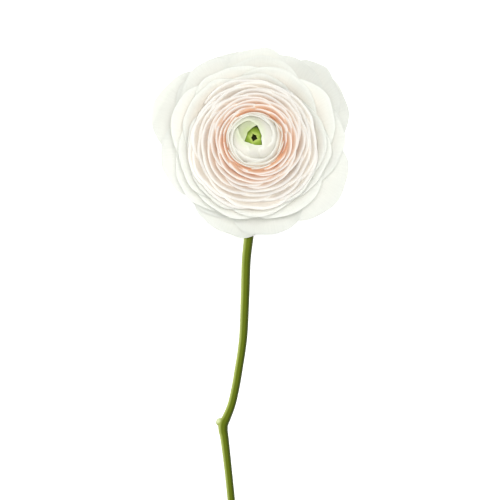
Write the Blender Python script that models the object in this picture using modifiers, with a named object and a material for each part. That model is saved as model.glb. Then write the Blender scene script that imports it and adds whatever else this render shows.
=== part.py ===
"""A cut ranunculus lying on a table, its bloom facing up and its stem running off along -Y.

Lengths are in millimetres until main() turns them into metres. Every petal is one blade laid on a
family of nested bowls: `layer` runs from 0 at the heart to 1 at the guard petals, and `along` runs
from 0 at the petal's root to 1 at its rim.
"""

import math
import random
from typing import NamedTuple

import bmesh
import bpy
from mathutils import Matrix, Vector

MM = 0.001
GOLDEN_ANGLE = 137.508  # degrees from one petal to the next
BLOOM_TILT = 4.0  # degrees the bloom's axis leans from upright towards +Y
BLOOM_HEIGHT = 12.6  # of the receptacle's shoulder above the table
BLADE = 0.6  # thickness of a petal
SEAT_GAP = 0.3  # between neighbouring pieces

ROOT_RADIUS = 2.2  # of the receptacle where the heart petals start
ROOT_FLARE = 4.2  # growth of that radius from layer 0 to layer 1
ROOT_TOP = 10.5  # height of the heart petals' roots above the shoulder
ROOT_DROP = 13.5  # fall of the roots from layer 0 to layer 1


class Bowl(NamedTuple):
    """One of the nested bowls, as the section from its root to its rim."""

    layer: float
    rim_radius: float
    rim_height: float
    rim_rise: float  # degrees above level at the rim, over 90 where it closes inwards
    rim_reach: float
    root_rise: float
    root_reach: float


BOWLS = (
    Bowl(-0.15, 0.6, 21.0, 158, 4.0, 44, 5.6),
    Bowl(-0.06, 1.4, 21.9, 160, 4.8, 34, 6.6),
    Bowl(0.00, 2.1, 22.9, 166, 7.0, 20, 8.8),
    Bowl(0.04, 2.4, 23.6, 168, 7.6, 18, 9.2),
    Bowl(0.07, 6.6, 22.0, 150, 3.6, 15, 8.5),
    Bowl(0.16, 8.3, 21.0, 130, 3.4, 12, 9.0),
    Bowl(0.25, 10.1, 19.6, 106, 3.4, 9, 9.3),
    Bowl(0.32, 11.4, 20.0, 66, 3.0, 8, 12.2),
    Bowl(0.37, 13.4, 20.8, 60, 3.8, 6, 12.8),
    Bowl(0.47, 17.4, 20.5, 53, 5.2, 4, 14.8),
    Bowl(0.63, 24.4, 17.2, 42, 7.2, 2, 18.2),
    Bowl(0.74, 28.6, 12.8, 33, 9.0, 0, 18.4),
    Bowl(0.88, 33.4, 6.0, 12, 11.0, -1, 17.0),
    Bowl(1.00, 36.6, -4.0, -30, 12.0, -2, 16.0),
    Bowl(1.15, 39.4, -15.5, -66, 12.0, -2, 14.5),
)


class Drift(NamedTuple):
    """How far off the bloom's axis a layer's rim is centred."""

    layer: float
    x: float
    y: float


DRIFTS = (
    Drift(-0.15, 0.4, 0.8),
    Drift(-0.05, 0.4, 0.8),
    Drift(0.00, -0.6, 0.8),
    Drift(0.25, 0.0, 0.0),
    Drift(0.37, 0.0, 0.0),
    Drift(0.50, -0.4, -0.8),
    Drift(0.64, -0.6, -1.6),
    Drift(0.80, -0.6, 0.3),
    Drift(0.96, -0.6, 2.2),
    Drift(1.15, -0.6, 2.2),
    Drift(1.25, 0.0, 0.0),
)


class Petal(NamedTuple):
    layer: float
    azimuth: float  # degrees round the bloom's axis, from +X towards +Y
    half_span: float  # degrees
    rim: float  # `along` where the blade ends
    reach: float  # over 1 carries the blade's outer part further from the axis
    rounding: float  # how far the rim falls away at the petal's two corners
    root: float  # `along` where the blade starts, inside the core


class Whorl(NamedTuple):
    """A run of petals, each one golden angle on from the last and a little further out."""

    first_layer: float
    last_layer: float
    count: int
    first_azimuth: float
    inner_span: float  # half the angle that the innermost petal covers, in degrees
    outer_span: float
    rounding: float
    wander: float  # degrees of scatter in azimuth
    columns: int
    rows: int


IMBRICATION = 0.0002  # layers gained per degree across a petal, so each overlaps the next
EYE = Whorl(-0.14, -0.07, 4, 20, 56, 58, 0.10, 3, 3, 3)
HEART = Whorl(0.07, 0.25, 8, 200, 60, 58, 0.15, 4, 4, 4)
BLUSH = Whorl(0.32, 0.63, 36, 65, 44, 41, 0.13, 3, 5, 3)
OUTER = Whorl(0.70, 0.95, 14, 40, 41, 35, 0.22, 4, 7, 3)

# Three broad petals close over the heart and leave a three-cornered opening: azimuth and layer.
CLOSING = ((142, 0.0), (254, 0.018), (12, 0.036))
CLOSING_HALF_SPAN = 68
CLOSING_ROUNDING = 0.117

class Guard(NamedTuple):
    """One of the outermost petals, which make the outline and so have each its own place."""

    azimuth: float
    layer: float
    reach: float
    half_span: float


GUARDS = (
    Guard(87, 0.94, 1.01, 33),
    Guard(225, 0.97, 0.96, 33),
    Guard(2, 0.965, 0.98, 33),
    Guard(139, 0.985, 0.97, 31),
    Guard(281, 0.99, 1.03, 31),
    Guard(60, 0.995, 1.02, 33),
    Guard(193, 1.00, 1.01, 33),
    Guard(323, 1.015, 1.09, 38),
    Guard(112, 1.01, 0.98, 33),
    Guard(253, 1.03, 1.01, 33),
    Guard(41, 1.04, 1.10, 27),
    Guard(33, 1.10, 1.06, 31),
    Guard(155, 1.115, 1.08, 30),
)
GUARD_ROUNDING = 0.26
GUARD_COLUMNS = 7
GUARD_ROWS = 4

SEPAL_COUNT = 5
SEPAL_LAYER = 1.20
SEPAL_TIP = 0.35  # `along` where a sepal ends
SEPAL_HALF_SPAN = 30

NECK_START = -4.5  # height in the bloom's axis where the stem's centre line starts
NECK_STEPS = 5
STEM_SIDES = 10
# The stem's centre line on the table, as X, Y and radius, from under the bloom to the cut end.
STEM_RUN = (
    (-0.6, -14.0, 1.95),
    (-1.5, -24.0, 1.95),
    (-2.4, -35.3, 1.90),
    (-3.4, -44.8, 1.80),
    (-3.8, -56.6, 1.75),
    (-4.4, -72.3, 1.65),
    (-5.2, -80.2, 1.60),
    (-6.3, -87.2, 1.60),
    (-7.5, -94.3, 1.60),
    (-9.1, -101.4, 1.60),
    (-11.0, -106.4, 1.80),
    (-12.5, -109.3, 2.25),
    (-12.5, -111.8, 1.95),
    (-12.1, -114.0, 1.70),
    (-11.5, -118.7, 1.60),
    (-10.5, -127.4, 1.50),
    (-9.3, -139.2, 1.50),
    (-8.4, -149.0, 1.50),
    (-7.9, -159.5, 1.50),
)
STUB_CENTRE = (-13.8, -108.8)  # X and Y of the healed side shoot on the stem's joint
STUB_RADIUS = 1.50
FLAT_DEPTH = 0.14  # how much of the stem's underside is pared flat

IVORY = (0.87, 0.86, 0.77)
PEACH = (0.86, 0.70, 0.56)
CREAM = (0.82, 0.79, 0.62)
EYE_GREEN = (0.27, 0.38, 0.06)
CARPEL_DARK = (0.03, 0.035, 0.012)
SEPAL_GREEN = (0.20, 0.27, 0.06)
STEM_GREEN = (0.18, 0.25, 0.04)


def bowl_at(layer):
    """The bowl of this layer, between the two listed ones that hold it."""
    for inner, outer in zip(BOWLS, BOWLS[1:]):
        if layer <= outer.layer:
            break
    share = (layer - inner.layer) / (outer.layer - inner.layer)
    return Bowl(*(a + (b - a) * share for a, b in zip(inner, outer)))


def section_point(layer, along, reach=1.0):
    """Radius and height above the shoulder of one point of a bowl's section."""
    bowl = bowl_at(layer)
    root = Vector((ROOT_RADIUS + ROOT_FLARE * layer, ROOT_TOP - ROOT_DROP * layer))
    rim = Vector((bowl.rim_radius, bowl.rim_height))
    rising = math.radians(bowl.root_rise)
    ending = math.radians(bowl.rim_rise)
    from_root = root + Vector((math.cos(rising), math.sin(rising))) * bowl.root_reach
    to_rim = rim - Vector((math.cos(ending), math.sin(ending))) * bowl.rim_reach
    rest = 1 - along
    point = rest**3 * root + 3 * rest**2 * along * from_root
    point += 3 * rest * along**2 * to_rim + along**3 * rim
    far = max(0.0, (along - 0.35) / 0.65)
    point.x *= 1 + (reach - 1) * far * far
    return point


def turned_point(section, azimuth):
    angle = math.radians(azimuth)
    return Vector((section.x * math.cos(angle), section.x * math.sin(angle), section.y))


def drift(layer, along):
    """How far this point of a layer is off the bloom's axis."""
    for inner, outer in zip(DRIFTS, DRIFTS[1:]):
        if layer <= outer.layer:
            break
    share = (layer - inner.layer) / (outer.layer - inner.layer)
    x = inner.x + (outer.x - inner.x) * share
    y = inner.y + (outer.y - inner.y) * share
    return Vector((x, y, 0)) * along**1.5


def waver(point):
    """The slow unevenness that the whole bloom shares, which keeps its bowls nested."""
    radius = math.hypot(point.x, point.y)
    angle = math.atan2(point.y, point.x)
    share = min(1.0, radius / 36) ** 2
    lift = 0.8 * math.cos(2 * angle - 0.5) + 0.5 * math.cos(3 * angle + 1.2)
    widen = 1 + 0.012 * math.cos(3 * angle + 0.4) * share
    return Vector((point.x * widen, point.y * widen, point.z + lift * share))


def bloom_to_table():
    lean = Matrix.Rotation(math.radians(-BLOOM_TILT), 4, "X")
    return Matrix.Translation((0, 0, BLOOM_HEIGHT)) @ lean


def material(name, colour, roughness):
    made = bpy.data.materials.new(name)
    made.use_nodes = True
    shader = made.node_tree.nodes["Principled BSDF"]
    shader.inputs["Base Color"].default_value = (*colour, 1)
    shader.inputs["Roughness"].default_value = roughness
    return made


def new_object(name, mesh):
    made = bpy.data.objects.new(name, mesh)
    bpy.context.scene.collection.objects.link(made)
    return made


def apply_modifiers(obj):
    """Turns the object's evaluated mesh into its own, so no modifier is left."""
    graph = bpy.context.evaluated_depsgraph_get()
    mesh = bpy.data.meshes.new_from_object(obj.evaluated_get(graph))
    obj.modifiers.clear()
    obj.data = mesh


def blade(petal, columns, rows):
    """One petal: a grid laid on its bowl, triangulated and then given its thickness."""
    shape = bmesh.new()
    bmesh.ops.create_grid(shape, x_segments=columns, y_segments=rows, size=1)
    for vertex in shape.verts:
        across = vertex.co.x
        up = (vertex.co.y + 1) / 2
        rim = petal.rim - petal.rounding * abs(across) ** 2.6
        along = petal.root + (rim - petal.root) * up
        turn = across * petal.half_span
        layer = petal.layer + IMBRICATION * turn
        section = section_point(layer, along, petal.reach)
        centred = turned_point(section, petal.azimuth + turn)
        vertex.co = waver(centred + drift(layer, along))
    bmesh.ops.triangulate(shape, faces=shape.faces)
    mesh = bpy.data.meshes.new("blade")
    shape.to_mesh(mesh)
    shape.free()
    made = new_object("blade", mesh)
    thick = made.modifiers.new("Thickness", "SOLIDIFY")
    thick.thickness = BLADE
    thick.offset = 0
    apply_modifiers(made)
    return made


def turned(name, outline, steps=24):
    """A closed section of (radius, height) turned round the bloom's axis."""
    shape = bmesh.new()
    corners = [shape.verts.new((radius, 0, height)) for radius, height in outline]
    for first, second in zip(corners, corners[1:] + corners[:1]):
        if first.co.x > 1e-6 or second.co.x > 1e-6:
            shape.edges.new((first, second))
    mesh = bpy.data.meshes.new(name)
    shape.to_mesh(mesh)
    shape.free()
    made = new_object(name, mesh)
    screw = made.modifiers.new("Turn", "SCREW")
    screw.steps = steps
    screw.render_steps = steps
    screw.use_merge_vertices = True
    screw.merge_threshold = 0.0001
    apply_modifiers(made)
    face_outwards(made)
    return made


def face_outwards(obj):
    shape = bmesh.new()
    shape.from_mesh(obj.data)
    bmesh.ops.recalc_face_normals(shape, faces=shape.faces)
    if shape.calc_volume(signed=True) < 0:
        bmesh.ops.reverse_faces(shape, faces=shape.faces)
    shape.to_mesh(obj.data)
    shape.free()


def core(first_layer, last_layer, first_depth, last_depth, margin):
    """The bowl of fused petal roots, from which the free blades stand out."""
    inner = first_layer - margin
    outer = last_layer + margin
    stops = [0, 0.35, 0.7, 1]
    outline = [section_point(outer, last_depth * stop) for stop in stops]
    outline += [section_point(inner, first_depth * stop) for stop in reversed(stops)]
    bowl = turned("core", [tuple(point) for point in outline])
    middle = (first_layer + last_layer) / 2
    depth = max(first_depth, last_depth)
    rim_radius = section_point(outer, last_depth).x
    for vertex in bowl.data.vertices:
        along = depth * min(1.0, math.hypot(vertex.co.x, vertex.co.y) / rim_radius)
        vertex.co = waver(vertex.co + drift(middle, along))
    return bowl


def whorl_petals(whorl, root, seed):
    chance = random.Random(seed)
    petals = []
    for index in range(whorl.count):
        share = index / (whorl.count - 1)
        layer = whorl.first_layer + (whorl.last_layer - whorl.first_layer) * share
        azimuth = whorl.first_azimuth + GOLDEN_ANGLE * index
        azimuth += chance.uniform(-whorl.wander, whorl.wander)
        span = whorl.inner_span + (whorl.outer_span - whorl.inner_span) * share
        rim = 1 + chance.uniform(-0.04, 0.02)
        petals.append(Petal(layer, azimuth, span, rim, 1.0, whorl.rounding, root))
    return petals


def guard_petals(root):
    return [
        Petal(guard.layer, guard.azimuth, guard.half_span, 1.0, guard.reach, GUARD_ROUNDING, root)
        for guard in GUARDS
    ]


def fuse(name, pieces):
    """One solid of all the pieces, which are then removed."""
    group = bpy.data.collections.new(name + "_pieces")
    bpy.context.scene.collection.children.link(group)
    body = pieces[0]
    for piece in pieces[1:]:
        for owner in list(piece.users_collection):
            owner.objects.unlink(piece)
        group.objects.link(piece)
    join = body.modifiers.new("Fuse", "BOOLEAN")
    join.operation = "UNION"
    join.operand_type = "COLLECTION"
    join.collection = group
    join.solver = "MANIFOLD"
    apply_modifiers(body)
    for piece in pieces[1:]:
        bpy.data.objects.remove(piece)
    bpy.data.collections.remove(group)
    body.name = name
    keep_outer_body(body)
    return body


def keep_outer_body(obj):
    """Keeps the largest closed shell, dropping loose scraps and sealed hollows."""
    shape = bmesh.new()
    shape.from_mesh(obj.data)
    shape.verts.ensure_lookup_table()
    unseen = set(shape.verts)
    shells = []
    while unseen:
        shell = {unseen.pop()}
        edge_of_shell = list(shell)
        while edge_of_shell:
            vertex = edge_of_shell.pop()
            for edge in vertex.link_edges:
                other = edge.other_vert(vertex)
                if other in unseen:
                    unseen.remove(other)
                    shell.add(other)
                    edge_of_shell.append(other)
        shells.append(shell)
    largest = max(shells, key=len)
    scraps = [vertex for vertex in shape.verts if vertex not in largest]
    bmesh.ops.delete(shape, geom=scraps, context="VERTS")
    shape.to_mesh(obj.data)
    shape.free()


def place(obj):
    """From the bloom's own frame to the table's."""
    obj.data.transform(bloom_to_table())


def plane_at_table(obj):
    """Pares the lowest spots flat where they rest on the table."""
    helpers = bpy.data.collections.get("cutters")
    bpy.ops.mesh.primitive_cube_add(size=1, location=(0, -60, -10))
    slab = bpy.context.object
    slab.name = "table_cutter"
    slab.scale = (160, 260, 20)
    bpy.ops.object.transform_apply(location=False, rotation=False, scale=True)
    for owner in list(slab.users_collection):
        owner.objects.unlink(slab)
    helpers.objects.link(slab)
    slab.hide_render = True
    slab.display_type = "WIRE"
    cut = obj.modifiers.new("Rest", "BOOLEAN")
    cut.operation = "DIFFERENCE"
    cut.object = slab
    cut.solver = "MANIFOLD"
    apply_modifiers(obj)
    bpy.data.objects.remove(slab)


def make_petals(name, blades, bowl, colour):
    body = fuse(name, [bowl, *blades])
    place(body)
    body.data.materials.clear()
    body.data.materials.append(material(name, colour, 0.55))
    return body


def make_outer_petals():
    spread = whorl_petals(OUTER, 0.2, seed=7)
    blades = [blade(petal, OUTER.columns, OUTER.rows) for petal in spread]
    blades += [blade(petal, GUARD_COLUMNS, GUARD_ROWS) for petal in guard_petals(0.14)]
    body = make_petals("outer_petals", blades, core(0.70, 1.08, 0.30, 0.20, 0.02), IVORY)
    plane_at_table(body)
    return body


def make_blush_petals():
    petals = whorl_petals(BLUSH, 0.22, seed=11)
    blades = [blade(petal, BLUSH.columns, BLUSH.rows) for petal in petals]
    return make_petals("blush_petals", blades, core(0.32, 0.63, 0.34, 0.30, 0.015), PEACH)


def make_heart_petals():
    petals = [
        Petal(layer, azimuth, CLOSING_HALF_SPAN, 1.0, 1.0, CLOSING_ROUNDING, 0.2)
        for azimuth, layer in CLOSING
    ]
    petals += whorl_petals(HEART, 0.2, seed=5)
    blades = [blade(petal, HEART.columns, HEART.rows) for petal in petals]
    return make_petals("heart_petals", blades, core(0.00, 0.25, 0.34, 0.34, 0.015), CREAM)


def make_eye_petals():
    petals = whorl_petals(EYE, 0.1, seed=3)
    blades = [blade(petal, EYE.columns, EYE.rows) for petal in petals]
    return make_petals("eye_petals", blades, core(-0.14, -0.07, 0.30, 0.30, 0.01), EYE_GREEN)


def make_carpels():
    """The dark column of unripe carpels, seen down the eye's opening."""
    outline = [(0, 12.9), (0.8, 12.9), (1.2, 13.8), (1.2, 16.5), (0.9, 18.6), (0.45, 19.6), (0, 19.8)]
    column = turned("carpels", outline, steps=14)
    place(column)
    column.data.materials.append(material("carpels", CARPEL_DARK, 0.6))
    return column


def make_calyx():
    """Five small green sepals spread under the bloom."""
    sepals = [
        Petal(SEPAL_LAYER, 18 + 72 * index, SEPAL_HALF_SPAN, SEPAL_TIP, 1.0, 0.22, 0.04)
        for index in range(SEPAL_COUNT)
    ]
    blades = [blade(sepal, 4, 2) for sepal in sepals]
    return make_petals("calyx", blades, core(1.16, 1.24, 0.12, 0.08, 0.0), SEPAL_GREEN)


def make_receptacle():
    """The cone that every petal grows from, rounded off where the stem leaves it."""
    inside = SEAT_GAP + 0.05
    upper = section_point(-0.15, 0) - Vector((inside, 0))
    lower = section_point(1.25, 0) - Vector((inside, 0))
    crown = upper + Vector((-0.6, 0.3))
    outline = [(0, crown.y), tuple(crown), tuple(upper), tuple(lower)]
    outline += [(lower.x * 0.8, lower.y - 1.1), (lower.x * 0.45, lower.y - 1.9), (0, lower.y - 2.1)]
    receptacle = turned("receptacle", outline)
    place(receptacle)
    return receptacle


def stem_line():
    """Centres and radii down the stem: the bend that lays it down, then its run on the table."""
    start = bloom_to_table() @ Vector((0, 0, NECK_START))
    lean = math.radians(BLOOM_TILT)
    radius = STEM_RUN[0][2]
    bend = (start.z - radius + FLAT_DEPTH) / (1 - math.sin(lean))
    line = []
    for step in range(NECK_STEPS + 1):
        turn = lean + (math.pi / 2 - lean) * step / NECK_STEPS
        back = bend * (math.cos(lean) - math.cos(turn))
        down = bend * (math.sin(turn) - math.sin(lean))
        line.append((Vector((0, start.y - back, start.z - down)), radius))
    for x, y, radius in STEM_RUN:
        line.append((Vector((x, y, radius - FLAT_DEPTH)), radius))
    return line


def make_stem():
    line = stem_line()
    curve = bpy.data.curves.new("stem_line", "CURVE")
    curve.dimensions = "3D"
    curve.bevel_depth = 1
    curve.bevel_resolution = (STEM_SIDES - 4) // 2
    curve.use_fill_caps = True
    curve.resolution_u = 1
    spline = curve.splines.new("BEZIER")
    spline.bezier_points.add(len(line) - 1)
    for point, (centre, radius) in zip(spline.bezier_points, line):
        point.co = centre
        point.radius = radius
        point.handle_left_type = "AUTO"
        point.handle_right_type = "AUTO"
    guide = new_object("stem_guide", curve)
    graph = bpy.context.evaluated_depsgraph_get()
    mesh = bpy.data.meshes.new_from_object(guide.evaluated_get(graph))
    bpy.data.objects.remove(guide)
    shape = bmesh.new()
    shape.from_mesh(mesh)
    bmesh.ops.remove_doubles(shape, verts=shape.verts, dist=0.0001)
    bmesh.ops.recalc_face_normals(shape, faces=shape.faces)
    shape.to_mesh(mesh)
    shape.free()
    stalk = new_object("stalk", mesh)
    stub_centre = (*STUB_CENTRE, STUB_RADIUS)
    bpy.ops.mesh.primitive_uv_sphere_add(
        segments=8, ring_count=6, radius=STUB_RADIUS, location=stub_centre
    )
    stub = bpy.context.object
    bpy.ops.object.transform_apply(location=True, rotation=False, scale=False)
    stem = fuse("stem", [stalk, make_receptacle(), stub])
    stem.data.materials.clear()
    stem.data.materials.append(material("stem", STEM_GREEN, 0.5))
    plane_at_table(stem)
    return stem


def stand_on_origin(nodes):
    """Hangs every node from one root, so the origin is under the middle of the whole object."""
    corners = [vertex.co for node in nodes for vertex in node.data.vertices]
    middle_x = (min(c.x for c in corners) + max(c.x for c in corners)) / 2
    middle_y = (min(c.y for c in corners) + max(c.y for c in corners)) / 2
    lowest = min(c.z for c in corners)
    root = bpy.data.objects.new("root", None)
    bpy.context.scene.collection.objects.link(root)
    root.location = (-middle_x, -middle_y, -lowest)
    for node in nodes:
        node.parent = root


def main():
    for obj in list(bpy.data.objects):
        bpy.data.objects.remove(obj)
    cutters = bpy.data.collections.new("cutters")
    bpy.context.scene.collection.children.link(cutters)
    nodes = [
        make_outer_petals(),
        make_blush_petals(),
        make_heart_petals(),
        make_eye_petals(),
        make_carpels(),
        make_calyx(),
        make_stem(),
    ]
    for node in nodes:
        node.data.transform(Matrix.Scale(MM, 4))
    stand_on_origin(nodes)


main()
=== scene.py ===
"""The looks of a cut ranunculus lying on a table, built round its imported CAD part.

Lengths are in millimetres in the bloom's own frame, as in the part's source, and metres in the scene.
Every petal is a thin blade on a family of nested bowls: `layer` runs from 0 at the heart to 1 at the
guard petals, and `along` from 0 at the petal's root to 1 at its rim.
"""

import math
import random
from typing import NamedTuple

import bpy
import numpy as np
from mathutils import Matrix, Vector


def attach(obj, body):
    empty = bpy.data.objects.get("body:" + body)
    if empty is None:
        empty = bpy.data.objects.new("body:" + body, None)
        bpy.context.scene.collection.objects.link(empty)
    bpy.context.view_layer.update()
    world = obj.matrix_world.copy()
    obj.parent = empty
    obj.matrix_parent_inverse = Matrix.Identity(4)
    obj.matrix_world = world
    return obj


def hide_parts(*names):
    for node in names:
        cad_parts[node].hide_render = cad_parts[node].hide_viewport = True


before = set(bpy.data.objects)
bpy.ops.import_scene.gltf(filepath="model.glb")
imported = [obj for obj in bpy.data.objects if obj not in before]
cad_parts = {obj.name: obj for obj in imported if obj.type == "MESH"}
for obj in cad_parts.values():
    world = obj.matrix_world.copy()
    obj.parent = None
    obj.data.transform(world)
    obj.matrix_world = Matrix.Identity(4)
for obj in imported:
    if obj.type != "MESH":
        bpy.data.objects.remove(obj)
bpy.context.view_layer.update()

MM = 0.001
GOLDEN_ANGLE = 137.508  # degrees from one petal to the next
BLOOM_TILT = 4.0  # degrees the bloom's axis leans from upright towards +Y
BLOOM_HEIGHT = 12.6  # of the receptacle's shoulder above the table
CARPEL_TOP = 19.8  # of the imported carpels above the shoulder, along the bloom's axis

ROOT_RADIUS = 2.2  # of the receptacle where the heart petals start
ROOT_FLARE = 4.2  # growth of that radius from layer 0 to layer 1
ROOT_TOP = 10.5  # height of the heart petals' roots above the shoulder
ROOT_DROP = 13.5  # fall of the roots from layer 0 to layer 1


# ---------------------------------------------------------------- the bloom's form


class Bowl(NamedTuple):
    """One of the nested bowls, as the section from its root to its rim."""

    layer: float
    rim_radius: float
    rim_height: float
    rim_rise: float  # degrees above level at the rim, over 90 where it closes inwards
    rim_reach: float
    root_rise: float
    root_reach: float


BOWLS = (
    Bowl(-0.15, 0.72, 21.0, 158, 4.0, 44, 5.6),
    Bowl(-0.06, 0.95, 21.9, 160, 4.8, 34, 6.6),
    Bowl(0.00, 2.35, 22.9, 166, 7.0, 20, 8.8),
    Bowl(0.04, 2.55, 23.6, 168, 7.6, 18, 9.2),
    Bowl(0.07, 6.6, 22.0, 150, 3.6, 15, 8.5),
    Bowl(0.16, 8.6, 21.0, 130, 3.4, 12, 9.0),
    Bowl(0.25, 10.75, 19.7, 106, 3.4, 9, 9.3),
    Bowl(0.32, 11.8, 20.0, 66, 3.0, 8, 12.2),
    Bowl(0.37, 13.4, 20.8, 60, 3.8, 6, 12.8),
    Bowl(0.47, 17.4, 20.4, 48, 5.2, 4, 14.8),
    Bowl(0.63, 24.4, 17.0, 35, 7.2, 2, 18.2),
    Bowl(0.74, 28.6, 13.5, 24, 9.0, 0, 18.4),
    Bowl(0.88, 33.4, 6.8, 10, 11.0, -1, 17.0),
    Bowl(1.00, 36.6, -4.0, -30, 12.0, -2, 16.0),
    Bowl(1.15, 39.4, -15.5, -66, 12.0, -2, 14.5),
    Bowl(1.30, 42.2, -27.0, -90, 12.0, -2, 13.0),
)


class Drift(NamedTuple):
    """How far off the bloom's axis a layer's rim is centred."""

    layer: float
    x: float
    y: float


DRIFTS = (
    Drift(-0.15, -0.3, 1.0),
    Drift(-0.05, -0.3, 1.0),
    Drift(0.00, -0.6, 0.8),
    Drift(0.25, 0.0, 0.0),
    Drift(0.37, 0.0, 0.0),
    Drift(0.50, -0.4, -0.8),
    Drift(0.64, -0.6, -1.6),
    Drift(0.80, -0.6, 0.3),
    Drift(0.96, -0.6, 2.2),
    Drift(1.15, -0.6, 2.2),
    Drift(1.25, 0.0, 0.0),
)
DRIFT_POWER = 1.5  # over 1 keeps a petal's root nearer to the axis

FAR_FROM = 0.35  # `along` where a petal starts to reach further and to wave

WAVER_RADIUS = 36  # from the axis, where the bloom's unevenness is full
# Size of each slow wave round the bloom, its crests and its phase.
WAVER_LIFTS = ((0.8, 2, -0.5), (0.5, 3, 1.2))
WAVER_WIDENING = (0.012, 3, 0.4)


def bowl_at(layer):
    """The bowls of an array of layers, each between the two listed ones that hold it."""
    layers, *columns = np.array(BOWLS).T
    return Bowl(layer, *(np.interp(layer, layers, column) for column in columns))


def far(along):
    """0 up to FAR_FROM, and 1 at the bowl's rim."""
    return np.clip((along - FAR_FROM) / (1 - FAR_FROM), 0, None)


def section(layer, along, reach=1.0):
    """Radius and height of points on the bowls' sections, for arrays of layer and along."""
    bowl = bowl_at(layer)
    root_rise = np.radians(bowl.root_rise)
    rim_rise = np.radians(bowl.rim_rise)
    root_radius = ROOT_RADIUS + ROOT_FLARE * layer
    root_height = ROOT_TOP - ROOT_DROP * layer
    radii = (
        root_radius,
        root_radius + np.cos(root_rise) * bowl.root_reach,
        bowl.rim_radius - np.cos(rim_rise) * bowl.rim_reach,
        bowl.rim_radius,
    )
    heights = (
        root_height,
        root_height + np.sin(root_rise) * bowl.root_reach,
        bowl.rim_height - np.sin(rim_rise) * bowl.rim_reach,
        bowl.rim_height,
    )
    rest = 1 - along
    weights = (rest**3, 3 * rest**2 * along, 3 * rest * along**2, along**3)
    radius = sum(weight * value for weight, value in zip(weights, radii))
    height = sum(weight * value for weight, value in zip(weights, heights))
    return radius * (1 + (reach - 1) * far(along) ** 2), height


def drift(layer, along):
    """How far points of a layer are off the bloom's axis, in X and in Y."""
    layers, x, y = np.array(DRIFTS).T
    share = along**DRIFT_POWER
    return np.interp(layer, layers, x) * share, np.interp(layer, layers, y) * share


def wave_round(angle, size, crests, phase):
    return size * np.cos(crests * angle + phase)


def waver(x, y, z):
    """The slow unevenness that the whole bloom shares, which keeps its bowls nested."""
    angle = np.arctan2(y, x)
    share = np.minimum(1.0, np.hypot(x, y) / WAVER_RADIUS) ** 2
    lift = sum(wave_round(angle, *wave) for wave in WAVER_LIFTS)
    widen = 1 + wave_round(angle, *WAVER_WIDENING) * share
    return x * widen, y * widen, z + lift * share


def bloom_points(layer, along, azimuth, reach=1.0, outwards=0.0):
    """Points of the bloom in its own frame, for arrays of layer, along and azimuth in degrees."""
    radius, height = section(layer, along, reach)
    radius = radius + outwards
    angle = np.radians(azimuth)
    shift_x, shift_y = drift(layer, along)
    x = radius * np.cos(angle) + shift_x
    y = radius * np.sin(angle) + shift_y
    return np.stack(waver(x, y, height), axis=-1)


# ---------------------------------------------------------------- into the scene

TABLE_BEND = 0.0002  # metres over which a petal bends to lie along the table


def bloom_lean():
    return Matrix.Rotation(math.radians(-BLOOM_TILT), 4, "X")


def bloom_matrix():
    """From the bloom's own frame, in millimetres, to the scene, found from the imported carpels."""
    tip = max((v.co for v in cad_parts["carpels"].data.vertices), key=lambda co: co.z)
    modelled_tip = (bloom_lean() @ Vector((0, 0, CARPEL_TOP))) * MM
    return Matrix.Translation(tip - modelled_tip) @ bloom_lean() @ Matrix.Scale(MM, 4)


def table_matrix():
    """From the stem's frame, in metres under the bloom and on the table, to the scene."""
    bloom = bloom_matrix() @ Matrix.Scale(1 / MM, 4)
    bloom_on_table = Matrix.Translation((0, 0, BLOOM_HEIGHT * MM)) @ bloom_lean()
    return bloom @ bloom_on_table.inverted()


# From millimetres of the bloom's own frame and of the stem's, to the scene.
BLOOM_TO_SCENE = np.array(bloom_matrix())
TABLE_TO_SCENE = np.array(table_matrix()) @ np.diag((MM, MM, MM, 1))


def placed(points, matrix):
    return points @ matrix[:3, :3].T + matrix[:3, 3]


def resting(points, clearance):
    """The points with what would sink into the table bent to lie along it."""
    above = (points[..., 2] - clearance) / TABLE_BEND
    lifted = points.copy()
    lifted[..., 2] = clearance + TABLE_BEND * np.logaddexp(0, above)
    return lifted


# ---------------------------------------------------------------- where each petal grows


class Petal(NamedTuple):
    layer: float
    azimuth: float  # degrees round the bloom's axis, from +X towards +Y
    half_span: float  # degrees
    rim: float  # `along` where the blade ends
    reach: float  # over 1 carries the blade's outer part further from the axis
    rounding: float  # how far the rim falls away at the petal's two corners


class Whorl(NamedTuple):
    """A run of petals, each one golden angle on from the last and a little further out."""

    first_layer: float
    last_layer: float
    count: int
    first_azimuth: float
    inner_span: float  # half the angle that the innermost petal covers, in degrees
    outer_span: float
    rounding: float
    wander: float  # degrees of scatter in azimuth
    crowding: float = 1.0  # under 1 puts more of the petals near the last layer


EYE = Whorl(-0.14, -0.07, 5, 20, 50, 52, 0.07, 3)
HEART = Whorl(0.048, 0.258, 20, 200, 54, 48, 0.14, 4, 0.82)
BLUSH = Whorl(0.290, 0.65, 66, 300, 50, 42, 0.13, 3, 1.02)
OUTER = Whorl(0.655, 0.95, 20, 40, 43, 35, 0.20, 4)
RIM_SCATTER = (-0.04, 0.02)  # how far a whorl's petals fall short of their bowl's rim or pass it

# Three broad petals close over the heart and leave a three-cornered opening: azimuth and layer.
CLOSING = ((142, 0.0), (254, 0.018), (12, 0.036))
CLOSING_HALF_SPAN = 68
CLOSING_ROUNDING = 0.117


class Guard(NamedTuple):
    """One of the outermost petals, which make the outline and so have each its own place."""

    azimuth: float
    layer: float
    reach: float
    half_span: float


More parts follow.
